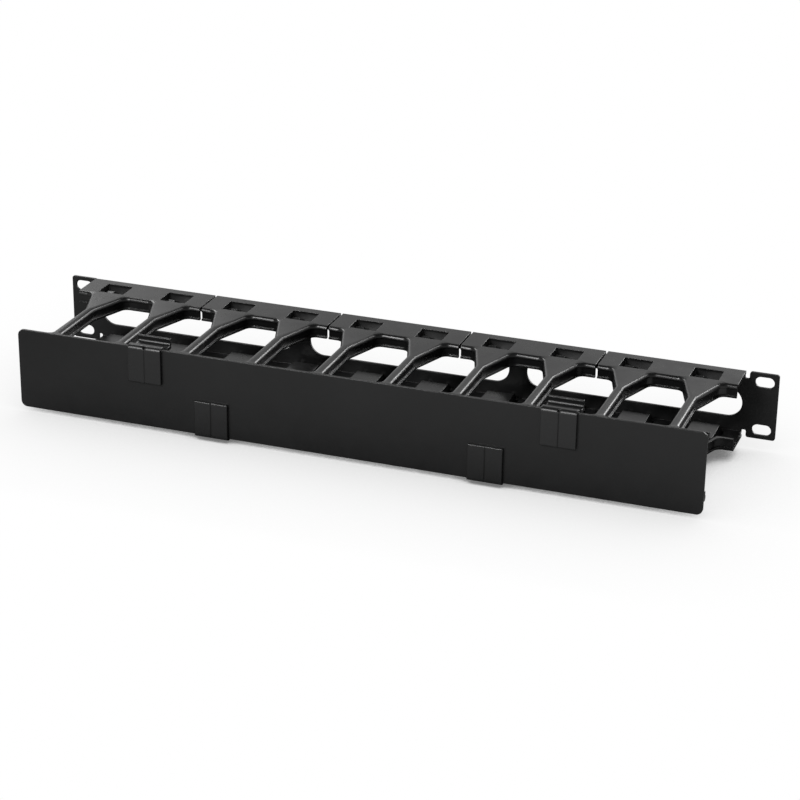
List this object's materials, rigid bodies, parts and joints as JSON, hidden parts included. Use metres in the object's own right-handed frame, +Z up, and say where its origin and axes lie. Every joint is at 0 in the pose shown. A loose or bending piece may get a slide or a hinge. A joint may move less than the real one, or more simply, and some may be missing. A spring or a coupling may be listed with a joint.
{
  "type": "rack cable manager",
  "caption": "Horizontal cable manager for a 19 inch rack: slotted steel panel, plastic finger rows above and below a channel, and a clipped drop-down front cover.",
  "frame": {"origin": "centre of the mounting plane: the rear face of the panel's ears, midway between the four slots", "axes": "+X along the rack's width, to the right seen from the front; +Y out of the panel's rear towards the rack; +Z up"},
  "size_m": [0.4826, 0.1155, 0.0582],
  "materials": {
    "black_powder_coat": "satin",
    "black_plastic": "matte",
    "black_cover": "satin"
  },
  "bodies": {
    "frame": {"rear_panel": "black_powder_coat", "upper_finger_module_1": "black_plastic", "upper_finger_module_2": "black_plastic", "upper_finger_module_3": "black_plastic", "upper_finger_module_4": "black_plastic", "upper_finger_module_5": "black_plastic", "lower_finger_module_1": "black_plastic", "lower_finger_module_2": "black_plastic", "lower_finger_module_3": "black_plastic", "lower_finger_module_4": "black_plastic", "lower_finger_module_5": "black_plastic"},
    "cover": {"cover_plate": "black_cover", "upper_left_clip": "black_plastic", "upper_right_clip": "black_plastic", "lower_left_clip": "black_plastic", "lower_right_clip": "black_plastic"}
  },
  "joints": [
    {"name": "cover_hinge", "type": "hinge", "parent": "frame", "child": "cover", "pos_m": [0, -0.1027, -0.02], "axis": [1, 0, 0], "range_deg": [0, 105]}
  ]
}
